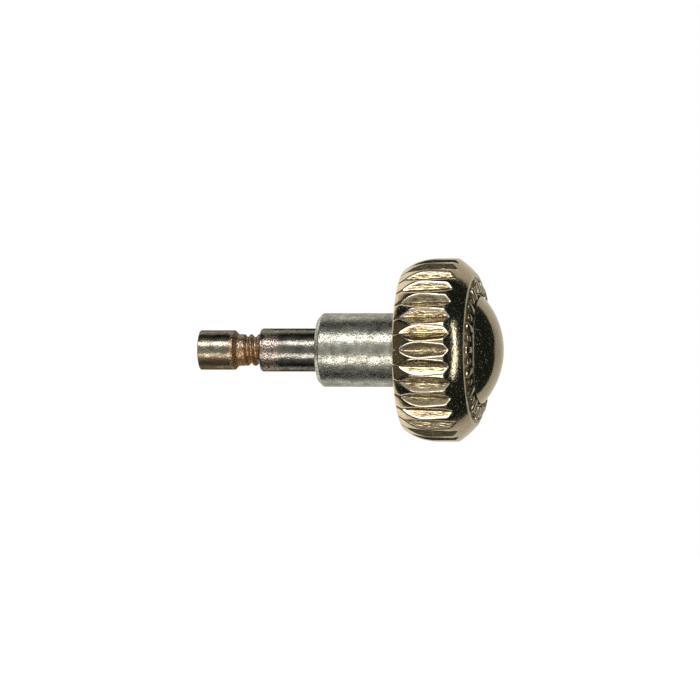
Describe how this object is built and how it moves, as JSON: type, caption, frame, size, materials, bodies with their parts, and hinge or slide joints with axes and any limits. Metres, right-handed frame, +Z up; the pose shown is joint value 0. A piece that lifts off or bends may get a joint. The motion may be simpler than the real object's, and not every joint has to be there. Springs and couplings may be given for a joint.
{
  "type": "watch crown",
  "caption": "Pull-out watch crown: fluted gilt cap with a polished dome over a steel core, turning on its case tube, with a threaded stem extension.",
  "frame": {"origin": "on the axis, at the shoulder of the case tube, where the outside of the watch case comes", "axes": "+X along the crown's axis, from the watch case out to the dome; +Z up"},
  "size_m": [0.0086, 0.005, 0.005],
  "materials": {
    "gilt": "gold plated, polished and worn",
    "gilt_dome": "gold plated, polished, fine pits",
    "core_steel": "turned",
    "tube_steel": "satin, grainy",
    "post_steel": "polished, rust-stained at the end",
    "extension_steel": "dark polished steel with a rusty neck",
    "washer_steel": "plain",
    "seal_rubber": "matt"
  },
  "bodies": {
    "tube": {"case_tube": "tube_steel"},
    "seal": {"crown_gasket": "seal_rubber"},
    "crown": {"gasket_washer": "washer_steel", "crown_cap": "gilt", "dome_inlay": "gilt_dome", "crown_core": "core_steel", "crown_post": "post_steel", "stem_extension": "extension_steel"}
  },
  "joints": [
    {"name": "pull_out", "type": "slide", "parent": "tube", "child": "seal", "axis": [1, 0, 0], "range_m": [0, 0.00085]},
    {"name": "turn", "type": "hinge", "parent": "seal", "child": "crown", "pos_m": [0, 0, 0], "axis": [1, 0, 0], "continuous": true}
  ]
}
